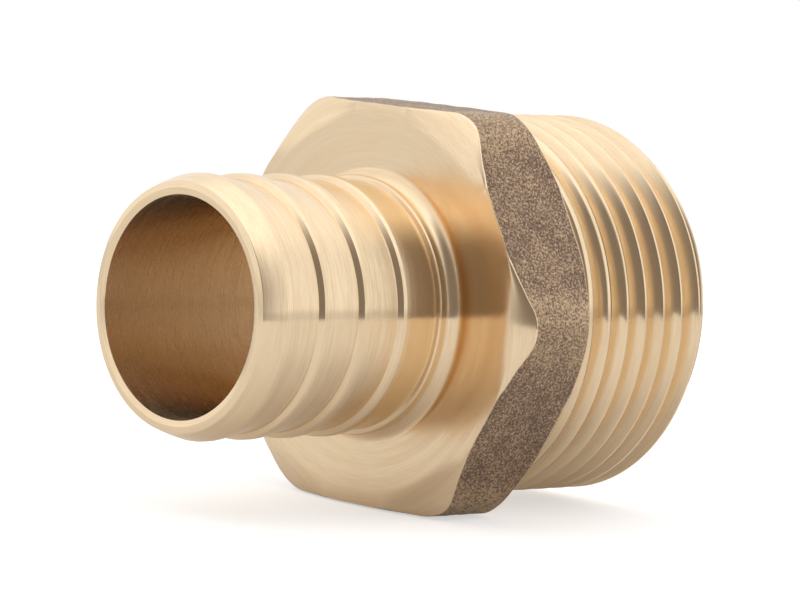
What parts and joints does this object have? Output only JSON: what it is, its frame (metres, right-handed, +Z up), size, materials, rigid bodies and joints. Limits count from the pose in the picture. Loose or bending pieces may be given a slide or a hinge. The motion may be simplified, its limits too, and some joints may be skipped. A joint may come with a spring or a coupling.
{
  "type": "crimp pipe adapter",
  "caption": "Brass crimp adapter: ribbed barb for plastic tube, wrench hexagon and male taper pipe thread on one axis, with a waterway right through.",
  "frame": {"origin": "on the axis, in the plane of the flat shoulder behind the barb", "axes": "+X along the axis towards the threaded end, the barb towards -X, +Z up with one wrench flat down"},
  "size_m": [0.0384, 0.0308, 0.0278],
  "materials": {
    "brass": "satin turned barb, shoulder and thread, rough cast skin on the wrench flats"
  },
  "bodies": {
    "root": {"fitting_body": "brass"}
  },
  "joints": []
}
